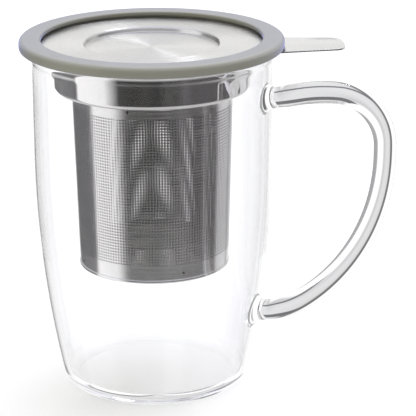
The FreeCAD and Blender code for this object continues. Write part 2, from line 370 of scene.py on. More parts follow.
# Collar of the infuser. Stainless steel sheet, pressed and spun: a flat flange that lies on the
# rim of the glass, a straight wall, a step in, and a neck that holds the sleeve.
collar_low, collar_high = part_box("infuser_collar")
sleeve_low, sleeve_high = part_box("infuser_sleeve")
SHEET = 0.0006
COLLAR_WALL = 0.0005
COLLAR_GAP = 0.0061
COLLAR_DEPTH = 0.0144
FLANGE_EDGE = 0.0002
FLANGE_BEND = 0.0014
STEP_BEND = 0.0018
SLEEVE_WALL = 0.0003
SLEEVE_TAPER = 0.0018
NEST = 0.00003
STEEL = (0.78, 0.77, 0.765, 1.0)
collar_radius = mouth - GLASS_WALL - COLLAR_GAP
flange_radius = collar_high.x
flange_top = collar_high.z


def rounded(corners, steps=8):
    """Points of an outline through (radius, height, rounding) corners. The outline closes on itself."""
    points = []
    for i, (x, z, rounding) in enumerate(corners):
        here = Vector((x, z))
        if rounding == 0:
            points.append((x, z))
            continue
        before = (Vector(corners[i - 1][:2]) - here).normalized()
        after = (Vector(corners[(i + 1) % len(corners)][:2]) - here).normalized()
        half = before.angle(after) / 2
        centre = here + (before + after).normalized() * rounding / math.sin(half)
        first = here + before * rounding / math.tan(half) - centre
        last = here + after * rounding / math.tan(half) - centre
        turn = first.angle_signed(last)
        for step in range(steps + 1):
            spoke = first.copy()
            spoke.rotate(Matrix.Rotation(-turn * step / steps, 2))
            points.append(tuple(centre + spoke))
    return points


def sleeve_outside(height):
    """Outside of the tapered sleeve at a height."""
    share = (sleeve_high.z - height) / (sleeve_high.z - sleeve_low.z)
    return sleeve_high.x - SLEEVE_TAPER * share


def arrow(tree, operation, first, second=(0.0, 0.0, 0.0)):
    return put(tree, "ShaderNodeVectorMath", {0: first, 1: second}, operation=operation).outputs[0]


def spun_steel(name, colour, roughness, stretch, lines, line_depth, inside=1.0):
    """Steel with fine lines round the axis and a sheen across them. inside paints shade on the inner faces.
    """
    material, tree = new_material(name)
    place = put(tree, "ShaderNodeTexCoord").outputs["Object"]
    flat = arrow(tree, "MULTIPLY", place, (1.0, 1.0, 0.0))
    radius = put(tree, "ShaderNodeVectorMath", {0: flat}, operation="LENGTH").outputs["Value"]
    outward = arrow(tree, "NORMALIZE", flat)
    height = put(tree, "ShaderNodeSeparateXYZ", {0: place}).outputs[2]
    fine_height = maths(tree, "MULTIPLY", height, lines)
    fine_radius = maths(tree, "MULTIPLY", radius, lines)
    tall = put(tree, "ShaderNodeCombineXYZ", {2: fine_height}).outputs[0]
    track = arrow(tree, "ADD", outward, tall)
    groove = put(tree, "ShaderNodeTexNoise", {
        "Vector": track, "W": fine_radius, "Scale": 1.0, "Detail": 3.0, "Roughness": 0.6,
    }, noise_dimensions="4D").outputs[0]
    cloud = put(tree, "ShaderNodeTexNoise", {"Vector": place, "Scale": 60.0, "Detail": 2.0}).outputs[0]
    mixed = maths(tree, "MULTIPLY", groove, cloud)
    rough = put(tree, "ShaderNodeMapRange", {
        0: mixed, 1: 0.1, 2: 0.45, 3: roughness * 0.7, 4: roughness * 1.35,
    })
    bump = put(tree, "ShaderNodeBump", {"Strength": 1.0, "Distance": line_depth, "Height": groove})
    normal = put(tree, "ShaderNodeNewGeometry").outputs["Normal"]
    east = arrow(tree, "CROSS_PRODUCT", (0.0, 0.0, 1.0), outward)
    across = arrow(tree, "CROSS_PRODUCT", east, normal)
    tint = colour
    # Painted shade: faces turned inwards take the steel colour scaled down towards inside, and side faces
    # part way.
    if inside < 1:
        facing = put(tree, "ShaderNodeVectorMath", {0: normal, 1: outward}, operation="DOT_PRODUCT")
        facing = facing.outputs["Value"]
        painted_shade_scale = put(tree, "ShaderNodeMapRange", {0: facing, 1: -0.5, 2: 0.2, 3: inside, 4: 1.0})
        steps = {0: colour[:3], "Scale": painted_shade_scale.outputs[0]}
        tint = put(tree, "ShaderNodeVectorMath", steps, operation="SCALE").outputs[0]
    steel = put(tree, "ShaderNodeBsdfPrincipled", {
        "Base Color": tint,
        "Metallic": 1.0,
        "Roughness": rough.outputs[0],
        "Anisotropic": stretch,
        "Tangent": across,
        "Normal": bump.outputs[0],
    })
    put(tree, "ShaderNodeOutputMaterial", {"Surface": steel.outputs[0]})
    return material


step_under = flange_top - COLLAR_DEPTH
step_top = step_under + COLLAR_WALL
neck_bottom = collar_low.z
neck_top = sleeve_outside(step_under) - SLEEVE_WALL - NEST
neck_foot = sleeve_outside(neck_bottom) - SLEEVE_WALL - NEST
flange_under = flange_top - SHEET
collar_corners = [
    (flange_radius, flange_under, FLANGE_EDGE),
    (flange_radius, flange_top, FLANGE_EDGE),
    (collar_radius - COLLAR_WALL, flange_top, FLANGE_BEND),
    (collar_radius - COLLAR_WALL, step_top, STEP_BEND - COLLAR_WALL),
    (neck_top - COLLAR_WALL, step_top, FLANGE_BEND - SHEET),
    (neck_foot - COLLAR_WALL, neck_bottom, 0),
    (neck_foot, neck_bottom, 0),
    (neck_top, step_under, 0),
    (collar_radius, step_under, STEP_BEND),
    (collar_radius, flange_under, FLANGE_BEND - SHEET),
]
collar = turned("infuser_collar_steel", rounded(collar_corners, 10))
polished = spun_steel(
    "polished_steel", STEEL, roughness=0.06, stretch=0.3, lines=2500.0, line_depth=0.00000004,
)
collar.data.materials.append(polished)
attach(collar, "infuser")
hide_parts("infuser_collar")

# Tab to lift the infuser by. A flat tongue of the same sheet, butted to the edge of the flange,
# with its corners rounded and its edges broken.
TAB_ANGLE = 24
TAB_LENGTH = 0.025
TAB_ROOT = 0.026
TAB_TIP = 0.0185
TAB_CORNER = 0.0045
TAB_BULGE = 0.0012
TAB_EDGE = 0.00012
TAB_SHARP = 40
SATIN_STEEL = (0.69, 0.685, 0.675, 1.0)


def tab_outline():
    """Outline of the tongue seen from above, pointing along X."""
    reach = flange_radius + TAB_LENGTH
    root = flange_radius - FLANGE_EDGE
    half_tip = TAB_TIP / 2
    slope = (TAB_ROOT - TAB_TIP) / 2 / (TAB_LENGTH + TAB_ROOT / 3)
    root_half = half_tip + slope * (TAB_LENGTH - TAB_BULGE)
    bow = (half_tip ** 2 + TAB_BULGE ** 2) / (2 * TAB_BULGE)
    side_turn = math.degrees(math.atan(slope))
    turn = math.degrees(math.asin((half_tip - TAB_CORNER) / (bow - TAB_CORNER)))
    tip_centre = reach - bow + (bow - TAB_CORNER) * math.cos(math.radians(turn))
    tip_corner = (tip_centre, half_tip - TAB_CORNER)
    upper = arc(tip_corner, TAB_CORNER, 90 - side_turn, turn, 12)
    end = arc((reach - bow, 0), bow, turn, -turn, 12)[1:-1]
    lower = [(x, -y) for x, y in upper[::-1]]
    root_turn = math.degrees(math.asin(root_half / root))
    return upper + end + lower + arc((0, 0), root, -root_turn, root_turn, 24)


def tab_mesh():
    turn = math.radians(TAB_ANGLE)
    shape = bmesh.new()
    corners = []
    for x, y in tab_outline():
        turned_x = x * math.cos(turn) - y * math.sin(turn)
        turned_y = x * math.sin(turn) + y * math.cos(turn)
        corners.append(shape.verts.new((turned_x, turned_y, flange_under)))
    blank = shape.faces.new(corners)
    raised = bmesh.ops.extrude_face_region(shape, geom=[blank])
    lifted = [part for part in raised["geom"] if isinstance(part, bmesh.types.BMVert)]
    bmesh.ops.translate(shape, verts=lifted, vec=(0, 0, SHEET))
    rims = [edge for edge in shape.edges if abs(edge.verts[0].co.z - edge.verts[1].co.z) < SHEET / 2]
    bmesh.ops.bevel(shape, geom=rims, offset=TAB_EDGE, segments=3, profile=0.5, affect="EDGES")
    bmesh.ops.triangulate(shape, faces=[face for face in shape.faces if len(face.verts) > 4])
    mesh = bpy.data.meshes.new("infuser_tab_steel")
    shape.to_mesh(mesh)
    shape.free()
    return finished(mesh, TAB_SHARP)


tab = new_piece("infuser_tab_steel", tab_mesh())
satin = spun_steel(
    "satin_steel", SATIN_STEEL, roughness=0.22, stretch=0.5, lines=1800.0, line_depth=0.0000005,
)
tab.data.materials.append(satin)
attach(tab, "infuser")
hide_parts("infuser_tab")

# Sleeve of the infuser. One thin steel sheet, punched all over with a square grid of fine holes,
# rolled to a slightly tapered tube and spot-welded to the neck above and the base below.
PITCH = 0.00108
HOLE = 0.00068
ROWS = 51
COLUMNS = 83
TOP_BAND = 0.0048
SLEEVE_HALVES = {"front": -70, "back": 110}
SLEEVE_SHARP = 35
SEAM = 0.000001


def sheet_cell(width, height, hole):
    """One square of sheet with an eight-sided hole, centred on the origin."""
    x, y = width / 2, height / 2
    corners = [(-x, -y), (x, -y), (x, y), (-x, y)]
    rim_points = []
    for k in range(8):
        turn = math.radians(-112.5 + 45 * k)
        rim_points.append((hole / 2 * math.cos(turn), hole / 2 * math.sin(turn)))
    verts = [(x, y, 0) for x, y in corners + rim_points]
    faces = []
    for k in range(4):
        near, far = 4 + 2 * k, 4 + 2 * k + 1
        following = 4 + (2 * k + 2) % 8
        faces.append((k, (k + 1) % 4, far, near))
        faces.append(((k + 1) % 4, following, far))
    mesh = bpy.data.meshes.new("sheet_cell")
    mesh.from_pydata(verts, [], faces)
    return mesh


def new_tree(name, sizes):
    """Node tree with a mesh input, a named input for each size, and a mesh output."""
    tree = bpy.data.node_groups.new(name, "GeometryNodeTree")
    tree.interface.new_socket("Mesh", in_out="INPUT", socket_type="NodeSocketGeometry")
    names = {}
    for label, value in sizes.items():
        kind = "NodeSocketInt" if isinstance(value, int) else "NodeSocketFloat"
        names[label] = tree.interface.new_socket(label, in_out="INPUT", socket_type=kind).identifier
    tree.interface.new_socket("Mesh", in_out="OUTPUT", socket_type="NodeSocketGeometry")
    given = tree.nodes.new("NodeGroupInput").outputs
    return tree, given, tree.nodes.new("NodeGroupOutput").inputs[0], names


def grown(name, mesh, tree, names, sizes):
    """Runs a tree on a mesh and gives the result as a plain mesh object."""
    seed = new_piece(name + "_seed", mesh)
    modifier = seed.modifiers.new("grow", "NODES")
    modifier.node_group = tree
    for label, value in sizes.items():
        modifier[names[label]] = value
    graph = bpy.context.evaluated_depsgraph_get()
    result = bpy.data.meshes.new_from_object(seed.evaluated_get(graph))
    bpy.data.objects.remove(seed)
    return new_piece(name, result)


def sleeve_tree(sizes, material):
    """Lays cells out in a flat grid with a plain band above and below, rolls it up and thickens it."""
    tree, given, result, names = new_tree("punched_sheet", sizes)
    columns, rows = given["Columns"], given["Rows"]
    cell_width, pitch = given["Cell width"], given["Pitch"]
    wide = maths(tree, "MULTIPLY", columns, cell_width)
    tall = maths(tree, "MULTIPLY", rows, pitch)
    grid = put(tree, "GeometryNodeMeshGrid", {
        "Size X": maths(tree, "SUBTRACT", wide, cell_width),
        "Size Y": maths(tree, "SUBTRACT", tall, pitch),
        "Vertices X": columns,
        "Vertices Y": rows,
    }).outputs[0]
    spread = {"Points": grid, "Instance": given["Mesh"]}
    cells = put(tree, "GeometryNodeInstanceOnPoints", spread).outputs[0]
    cells = put(tree, "GeometryNodeRealizeInstances", {0: cells}).outputs[0]
    sheet = put(tree, "GeometryNodeJoinGeometry")
    tree.links.new(cells, sheet.inputs[0])
    for band, way in (("Top band", 1), ("Bottom band", -1)):
        strip = put(tree, "GeometryNodeMeshGrid", {
            "Size X": wide,
            "Size Y": given[band],
            "Vertices X": maths(tree, "ADD", columns, 1.0),
            "Vertices Y": 2,
        }).outputs[0]
        middle = maths(tree, "MULTIPLY", maths(tree, "ADD", tall, given[band]), way * 0.5)
        move = put(tree, "ShaderNodeCombineXYZ", {1: middle}).outputs[0]
        strip = put(tree, "GeometryNodeTransform", {0: strip, "Translation": move}).outputs[0]
        tree.links.new(strip, sheet.inputs[0])
    flat = put(tree, "GeometryNodeMergeByDistance", {0: sheet.outputs[0], "Distance": SEAM}).outputs[0]
    place = put(tree, "GeometryNodeInputPosition").outputs[0]
    spot = put(tree, "ShaderNodeSeparateXYZ", {0: place}).outputs
    share = maths(tree, "DIVIDE", spot[0], wide)
    turn = maths(tree, "ADD", maths(tree, "MULTIPLY", share, math.pi), given["Start"])
    upper_half = maths(tree, "ADD", maths(tree, "MULTIPLY", tall, 0.5), given["Top band"])
    below = maths(tree, "SUBTRACT", upper_half, spot[1])
    radius = maths(tree, "SUBTRACT", given["Top radius"], maths(tree, "MULTIPLY", below, given["Slope"]))
    rolled = put(tree, "ShaderNodeCombineXYZ", {
        0: maths(tree, "MULTIPLY", radius, maths(tree, "COSINE", turn)),
        1: maths(tree, "MULTIPLY", radius, maths(tree, "SINE", turn)),
        2: maths(tree, "SUBTRACT", given["Top"], below),
    }).outputs[0]
    skin = put(tree, "GeometryNodeSetPosition", {0: flat, "Position": rolled}).outputs[0]
    inward = maths(tree, "MULTIPLY", given["Wall"], -1.0)
    walls = put(tree, "GeometryNodeExtrudeMesh", {0: skin, "Offset Scale": inward, "Individual": False})
    both = put(tree, "GeometryNodeJoinGeometry")
    tree.links.new(walls.outputs[0], both.inputs[0])
    tree.links.new(put(tree, "GeometryNodeFlipFaces", {0: skin}).outputs[0], both.inputs[0])
    solid = put(tree, "GeometryNodeMergeByDistance", {0: both.outputs[0], "Distance": SEAM}).outputs[0]
    whole = put(tree, "GeometryNodeRealizeInstances", {0: solid}).outputs[0]
    done = put(tree, "GeometryNodeSetMaterial", {0: whole, "Material": material}).outputs[0]
    tree.links.new(done, result)
    return tree, names


sleeve_height = sleeve_high.z - sleeve_low.z
cell_width = math.pi * sleeve_high.x / COLUMNS
sleeve_sizes = {
    "Columns": COLUMNS,
    "Rows": ROWS,
    "Cell width": cell_width,
    "Pitch": PITCH,
    "Top band": TOP_BAND,
    "Bottom band": sleeve_height - TOP_BAND - ROWS * PITCH,
    "Start": 0.0,
    "Top": sleeve_high.z,
    "Top radius": sleeve_high.x,
    "Slope": SLEEVE_TAPER / sleeve_height,
    "Wall": SLEEVE_WALL,
}
# The low inside value paints shade on the inner face of the sleeve and, part way, on its hole walls.
punched = spun_steel(
    "punched_steel", STEEL, roughness=0.2, stretch=0.0, lines=2200.0, line_depth=0.0000003, inside=0.1,
)
punch_tree, punch_names = sleeve_tree(sleeve_sizes, punched)
for half, facing in SLEEVE_HALVES.items():
    sizes = dict(sleeve_sizes)
    sizes["Start"] = math.radians(facing)
    name = "infuser_sleeve_" + half
    sleeve = grown(name, sheet_cell(cell_width, PITCH, HOLE), punch_tree, punch_names, sizes)
    finished(sleeve.data, SLEEVE_SHARP)
    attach(sleeve, "infuser")
    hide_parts("infuser_sleeve")

# Base of the infuser. A shallow pressed cup of steel inside the foot of the sleeve, with a rolled
# lip below it and the same fine holes through its floor.
base_low, base_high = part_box("infuser_base")
BASE_SHEET = 0.0004
BASE_LIP = 0.0013
BASE_FIELD = 0.0225


def base_tree(sizes, material):
    """Cuts a square grid of round holes, clipped to a circle, through the floor of a cup."""
    tree, given, result, names = new_tree("punched_floor", sizes)
    spread = maths(tree, "MULTIPLY", given["Field"], 2.0)
    steps = maths(tree, "FLOOR", maths(tree, "DIVIDE", spread, given["Pitch"]))
    across = maths(tree, "ADD", steps, 1.0)
    grid = put(tree, "GeometryNodeMeshGrid", {
        "Size X": spread, "Size Y": spread, "Vertices X": across, "Vertices Y": across,
    })
    place = put(tree, "GeometryNodeInputPosition").outputs[0]
    radius = put(tree, "ShaderNodeVectorMath", {0: place}, operation="LENGTH").outputs["Value"]
    limits = {0: radius, 1: given["Field"]}
    outside = put(tree, "FunctionNodeCompare", limits, operation="GREATER_THAN").outputs[0]
    points = put(tree, "GeometryNodeDeleteGeometry", {0: grid.outputs[0], 1: outside}).outputs[0]
    pin = put(tree, "GeometryNodeMeshCylinder", {
        "Vertices": 8,
        "Radius": maths(tree, "MULTIPLY", given["Hole"], 0.5),
        "Depth": given["Depth"],
    })
    spread_pins = {"Points": points, "Instance": pin.outputs[0]}
    pins = put(tree, "GeometryNodeInstanceOnPoints", spread_pins).outputs[0]
    lift = put(tree, "ShaderNodeCombineXYZ", {2: given["Floor"]}).outputs[0]
    pins = put(tree, "GeometryNodeRealizeInstances", {0: pins}).outputs[0]
    pins = put(tree, "GeometryNodeTransform", {0: pins, "Translation": lift}).outputs[0]
    cut = put(tree, "GeometryNodeMeshBoolean", operation="DIFFERENCE", solver="MANIFOLD")
    tree.links.new(given["Mesh"], cut.inputs[0])
    tree.links.new(pins, cut.inputs[1])
    whole = put(tree, "GeometryNodeRealizeInstances", {0: cut.outputs[0]}).outputs[0]
    done = put(tree, "GeometryNodeSetMaterial", {0: whole, "Material": material}).outputs[0]
    tree.links.new(done, result)
    return tree, names


sleeve_foot = base_low.z + BASE_LIP
wall_top = base_high.z
lip_radius = base_high.x
cup_low = sleeve_outside(sleeve_foot) - SLEEVE_WALL - NEST
cup_high = sleeve_outside(wall_top) - SLEEVE_WALL - NEST
base_floor = base_low.z + BASE_SHEET
base_corners = [
    (0, base_low.z, 0),
    (lip_radius, base_low.z, BASE_LIP / 2),
    (lip_radius, sleeve_foot, BASE_LIP / 4),
    (cup_low, sleeve_foot, 0),
    (cup_high, wall_top, 0),
    (cup_high - BASE_SHEET, wall_top, 0),
    (cup_low - BASE_SHEET, base_floor, BASE_LIP / 2),
    (0, base_floor, 0),
]
cup = turned("base_cup", rounded(base_corners, 8))
base_sizes = {
    "Field": BASE_FIELD,
    "Pitch": PITCH,
    "Hole": HOLE,
    "Depth": 4 * BASE_SHEET,
    "Floor": base_low.z + BASE_SHEET / 2,
}
base_made, base_names = base_tree(base_sizes, polished)
cup_mesh = cup.data
bpy.data.objects.remove(cup)
base = grown("infuser_base_steel", cup_mesh, base_made, base_names, base_sizes)
finished(base.data, SLEEVE_SHARP)
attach(base, "infuser")
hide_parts("infuser_base")

# Spot welds. Four small dimples round the top of the sleeve and four round its foot, where the
# electrode pinched the sheets together and left a dark burnt ring.
WELD_RADIUS = 0.0006
WELD_PROUD = 0.00005
WELD_COUNT = 4
WELD_TOP = 0.0022
WELD_FOOT = 0.0022
WELD_STEEL = (0.16, 0.13, 0.10, 1.0)
WELD_SCALE = (0.05, 0.045, 0.04, 1.0)
WELD_TURNS = {"upper": -86.2, "lower": -46.5}
WELD_SIDES = 12
WELD_SHARP = 50


def weld_tree(sizes, material):
    """Sets a dimple at equal steps round the axis, facing outwards."""
    tree, given, result, names = new_tree("spot_welds", sizes)
    circle = {"Vertices": given["Count"], "Radius": given["Radius"]}
    ring = put(tree, "GeometryNodeMeshCircle", circle).outputs[0]
    outward = put(tree, "GeometryNodeInputPosition").outputs[0]
    facing = put(tree, "FunctionNodeAlignRotationToVector", {"Vector": outward}, axis="Z").outputs[0]
    dots = put(tree, "GeometryNodeInstanceOnPoints", {
        "Points": ring, "Instance": given["Mesh"], "Rotation": facing,
    }).outputs[0]
    place = put(tree, "GeometryNodeTransform", {
        0: put(tree, "GeometryNodeRealizeInstances", {0: dots}).outputs[0],
        "Translation": put(tree, "ShaderNodeCombineXYZ", {2: given["Height"]}).outputs[0],
        "Rotation": put(tree, "FunctionNodeEulerToRotation", {
            0: put(tree, "ShaderNodeCombineXYZ", {2: given["Turn"]}).outputs[0],
        }).outputs[0],
    }).outputs[0]
    whole = put(tree, "GeometryNodeRealizeInstances", {0: place}).outputs[0]
    done = put(tree, "GeometryNodeSetMaterial", {0: whole, "Material": material}).outputs[0]
    tree.links.new(done, result)
    return tree, names


def burnt_steel():
    """Steel with a dark brown heat tint, patchy with fine noise."""
    material, tree = new_material("burnt_steel")
    place = put(tree, "ShaderNodeTexCoord").outputs["Object"]
    stain = put(tree, "ShaderNodeTexNoise", {"Vector": place, "Scale": 2500.0, "Detail": 2.0}).outputs[0]
    tint = put(tree, "ShaderNodeMix", {0: stain, 6: WELD_STEEL, 7: WELD_SCALE}, data_type="RGBA")
    steel = put(tree, "ShaderNodeBsdfPrincipled", {
        "Base Color": tint.outputs[2], "Metallic": 1.0, "Roughness": 0.4,
    })
    put(tree, "ShaderNodeOutputMaterial", {"Surface": steel.outputs[0]})
    return material


dimple_outline = [
    (0, 0),
    (WELD_RADIUS * 0.5, WELD_PROUD / 4),
    (WELD_RADIUS * 0.75, WELD_PROUD),
    (WELD_RADIUS, -WELD_PROUD),
    (0, -WELD_PROUD),
]
dimple = turned("dimple", dimple_outline, around=WELD_SIDES)
dimple_mesh = dimple.data
bpy.data.objects.remove(dimple)
burnt = burnt_steel()
weld_heights = {"upper": sleeve_high.z - WELD_TOP, "lower": sleeve_low.z + WELD_FOOT}
for level, height in weld_heights.items():
    weld_sizes = {
        "Count": WELD_COUNT,
        "Radius": sleeve_outside(height),
        "Height": height,
        "Turn": math.radians(WELD_TURNS[level]),
    }
    weld_made, weld_names = weld_tree(weld_sizes, burnt)
    welds = grown("spot_welds_" + level, dimple_mesh, weld_made, weld_names, weld_sizes)
    finished(welds.data, WELD_SHARP)
    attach(welds, "infuser")

# Disc of the lid. Stainless steel sheet, 0.6 mm, with a shallow round recess pressed in to grip it
# by, and its top brushed in circles.
_, disc_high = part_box("lid_disc")
DISC_SHEET = 0.0006
RECESS_RADIUS = 0.0245
RECESS_DEPTH = 0.0017
RECESS_DRAFT = 0.0005
RECESS_ROUND = 0.001
BRUSHED_STEEL = (0.68, 0.675, 0.66, 1.0)
disc_top = disc_high.z
disc_under = disc_top - DISC_SHEET
recess_floor = RECESS_RADIUS - RECESS_DRAFT
wall_shift = DISC_SHEET - DISC_SHEET * RECESS_DRAFT / RECESS_DEPTH
disc_corners = [
    (0, disc_top - RECESS_DEPTH, 0),
    (recess_floor, disc_top - RECESS_DEPTH, RECESS_ROUND - DISC_SHEET),
    (RECESS_RADIUS, disc_top, RECESS_ROUND),
    (disc_high.x, disc_top, 0),
    (disc_high.x, disc_under, 0),
    (RECESS_RADIUS + wall_shift, disc_under, RECESS_ROUND - DISC_SHEET),
    (recess_floor + wall_shift, disc_under - RECESS_DEPTH, RECESS_ROUND),
    (0, disc_under - RECESS_DEPTH, 0),
]
disc = turned("lid_disc_steel", rounded(disc_corners, 12))
brushed = spun_steel(
    "brushed_steel", BRUSHED_STEEL, roughness=0.28, stretch=0.85, lines=7000.0, line_depth=0.0000003,
)
disc.data.materials.append(brushed)
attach(disc, "lid")
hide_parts("lid_disc")

# Seal of the lid. One ring of grey silicone, moulded round the disc's edge: it grips the disc in a
# groove, lies on the flange, and has a lip below that centres the lid in the collar.
ring_low, ring_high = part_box("lid_ring")
RING_WIDTH = 0.0079
RING_TOP_ROUND = 0.0017
RING_LOWER_ROUND = 0.0012
RING_INNER_ROUND = 0.0008
FIT = 0.00005
SEAT = 0.00005
LIP_WIDTH = 0.0014
LIP_CLEARANCE = 0.0004
GAP_HEIGHT = 0.0009
GAP_DEPTH = 0.0016
SILICONE = (0.33, 0.325, 0.265, 1.0)
SILICONE_PALE = (0.36, 0.355, 0.29, 1.0)
SILICONE_BLOOM = (0.55, 0.6, 1.0, 1.0)


def grey_silicone():
    """Matt grey silicone with fine mould grain, paler in places, and a cool bloom at low angles."""
    material, tree = new_material("grey_silicone")
    place = put(tree, "ShaderNodeTexCoord").outputs["Object"]
    patch = put(tree, "ShaderNodeTexNoise", {"Vector": place, "Scale": 90.0, "Detail": 4.0}).outputs[0]
    shades = {0: patch, 6: SILICONE, 7: SILICONE_PALE}
    colour = put(tree, "ShaderNodeMix", shades, data_type="RGBA").outputs[2]
    grain = put(tree, "ShaderNodeTexNoise", {"Vector": place, "Scale": 2600.0, "Detail": 2.0}).outputs[0]
    bump = put(tree, "ShaderNodeBump", {"Strength": 0.4, "Distance": 0.00003, "Height": grain})
    rough = put(tree, "ShaderNodeMapRange", {0: patch, 1: 0.3, 2: 0.7, 3: 0.42, 4: 0.52})
    silicone = put(tree, "ShaderNodeBsdfPrincipled", {
        "Base Color": colour, "Roughness": rough.outputs[0], "IOR": 1.5, "Normal": bump.outputs[0],
        "Sheen Weight": 1.0, "Sheen Roughness": 0.3, "Sheen Tint": SILICONE_BLOOM,
    })
    put(tree, "ShaderNodeOutputMaterial", {"Surface": silicone.outputs[0]})
    return material


ring_under = flange_top + SEAT
ring_inner = ring_high.x - RING_WIDTH
groove = disc_high.x + FIT
lip_outer = collar_radius - COLLAR_WALL - LIP_CLEARANCE
lip_inner = lip_outer - LIP_WIDTH
ring_corners = [
    (ring_high.x, ring_under, RING_LOWER_ROUND),
    (ring_high.x, ring_high.z, RING_TOP_ROUND),
    (ring_inner, ring_high.z, RING_INNER_ROUND),
    (ring_inner, disc_top + GAP_HEIGHT, 0),
    (ring_inner + GAP_DEPTH, disc_top + GAP_HEIGHT, 0),
    (ring_inner + GAP_DEPTH, disc_top, 0),
    (groove, disc_top, 0),
    (groove, disc_under, 0),
    (lip_inner, disc_under, 0),
    (lip_inner, ring_low.z, LIP_WIDTH / 4),
    (lip_outer, ring_low.z, LIP_WIDTH / 4),
    (lip_outer, ring_under, 0),
]
ring = turned("lid_ring_silicone", rounded(ring_corners, 12))
ring.data.materials.append(grey_silicone())
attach(ring, "lid")
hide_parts("lid_ring")

# Floor. A pale sweep of board, lit so that it just reaches white and keeps a soft shadow. Steel
# and the solid rod of the handle show the studio beyond it instead.
FLOOR_SIZE = 12.0
FLOOR_DROP = 0.0002
FLOOR_PAINT = (0.45, 0.445, 0.41, 1.0)
FLOOR_GLOW = 0.62


def through_rod(tree, path):
    """One for light that has crossed one or two faces of glass: the rod, but not the hollow mug."""
    entered = maths(tree, "GREATER_THAN", path["Transmission Depth"], 0.5)
    once = maths(tree, "LESS_THAN", path["Transmission Depth"], 2.5)
    return maths(tree, "MULTIPLY", entered, once)


def pale_board():
    """White board that the camera sees bare and through the mug, not mirrored or through the rod."""
    material, tree = new_material("pale_board")
    path = put(tree, "ShaderNodeLightPath").outputs
    paint = put(tree, "ShaderNodeBsdfDiffuse", {"Color": FLOOR_PAINT})
    seen = maths(tree, "LESS_THAN", path["Diffuse Depth"], 0.5)
    strength = maths(tree, "MULTIPLY", seen, FLOOR_GLOW)
    glow = put(tree, "ShaderNodeEmission", {"Strength": strength})
    board = put(tree, "ShaderNodeAddShader", {0: paint.outputs[0], 1: glow.outputs[0]})
    mirrored = maths(tree, "GREATER_THAN", path["Glossy Depth"], 0.5)
    unseen = maths(tree, "MAXIMUM", mirrored, through_rod(tree, path))
    gone = put(tree, "ShaderNodeBsdfTransparent")
    mix = put(tree, "ShaderNodeMixShader", {0: unseen, 1: board.outputs[0], 2: gone.outputs[0]})
    put(tree, "ShaderNodeOutputMaterial", {"Surface": mix.outputs[0]})
    return material


floor_mesh = bpy.data.meshes.new("floor")
half = FLOOR_SIZE / 2
corners = [(-half, -half), (half, -half), (half, half), (-half, half)]
floor_mesh.from_pydata([(x, y, -FLOOR_DROP) for x, y in corners], [], [(0, 1, 2, 3)])
floor_mesh.materials.append(pale_board())
new_piece("floor", floor_mesh)

# Studio. White behind the mug, a soft box at its left and dark boards in front, which give steel
# and glass clear edges. Angles run round the room from the main camera's side, minus to its left.
VIEW_AZIMUTH = 20
SOFT_LIGHT = 0.42
BACKDROP = 1.0
BACKDROP_THROUGH_GLASS = 1.16
STEEL_ROOM = (
    (-180, (1.05, 1.05, 1.05)),
    (-161, (1.05, 1.05, 1.05)),
    (-158, (0.075, 0.075, 0.08)),
    (-98, (0.075, 0.07, 0.08)),
    (-94, (1.25, 1.25, 1.27)),
    (-56, (1.15, 1.15, 1.17)),
    (-38, (0.035, 0.035, 0.035)),
    (-20, (0.014, 0.014, 0.012)),
    (-6, (0.03, 0.031, 0.026)),
    (4, (0.01, 0.01, 0.01)),
    (30, (0.012, 0.012, 0.011)),
    (38, (0.075, 0.070, 0.075)),
    (106, (0.085, 0.080, 0.085)),
    (111, (0.75, 0.75, 0.77)),
    (140, (0.85, 0.85, 0.87)),
    (146, (0.25, 0.25, 0.26)),
    (152, (0.9, 0.9, 0.92)),
    (180, (1.05, 1.05, 1.05)),
)
GLASS_ROOM = (
    (-180, (0.8, 0.8, 0.81)),
    (-171, (0.74, 0.74, 0.75)),
    (-168, (0.16, 0.16, 0.16)),
    (-163, (0.16, 0.16, 0.16)),
    (-160, (1.12, 1.12, 1.12)),
    (-102, (1.12, 1.12, 1.12)),
    (-94, (0.45, 0.45, 0.45)),
    (-60, (0.42, 0.42, 0.42)),
    (8, (0.40, 0.40, 0.40)),
    (16, (1.08, 1.08, 1.08)),
    (34, (1.08, 1.08, 1.08)),
    (42, (0.40, 0.40, 0.40)),
    (143, (0.40, 0.40, 0.41)),
    (148, (1.12, 1.12, 1.13)),
    (166, (1.08, 1.08, 1.09)),
    (170, (0.62, 0.62, 0.63)),
    (178, (0.8, 0.8, 0.81)),
)
OVERHEAD = (0.92, 0.92, 1.05, 1.0)
OVERHEAD_FROM = 38
OVERHEAD_FULL = 52
LOW_GREY = (0.27, 0.27, 0.27, 1.0)
LOW_FROM = -20.5
LOW_FULL = -25.5
HIGH_GREY = (0.68, 0.68, 0.69, 1.0)
CEILING = (13, 19)
WALLS_ABOVE = (-8, 2)
WALLS_BELOW = (-28, -36)
GAP_HALF_WIDTH = 14
GAPS = ((1, 15), (-35, -30))
GAP_EDGE = 2
GAP_DARK = (0.16, 0.16, 0.17, 1.0)


def round_the_room(tree, place, stops_wanted):
    """Colour by compass direction, from the list of angles and colours."""
    ramp = put(tree, "ShaderNodeValToRGB", {0: place})
    stops = ramp.color_ramp.elements
    while len(stops) > 1:
        stops.remove(stops[-1])
    for number, (angle, colour) in enumerate(stops_wanted):
        stop = stops[0] if number == 0 else stops.new((angle + 180) / 360)
        stop.position = (angle + 180) / 360
        stop.color = (*colour, 1.0)
    return ramp.outputs[0]


def height_step(tree, height, start, stop):
    """Rises from 0 to 1 between two elevations in degrees."""
    first, last = math.sin(math.radians(start)), math.sin(math.radians(stop))
    return put(tree, "ShaderNodeMapRange", {0: height, 1: first, 2: last, 3: 0.0, 4: 1.0}).outputs[0]


def blended(tree, share, first, second, blend="MIX"):
    parts = {0: share, 6: first, 7: second}
    return put(tree, "ShaderNodeMix", parts, data_type="RGBA", blend_type=blend).outputs[2]


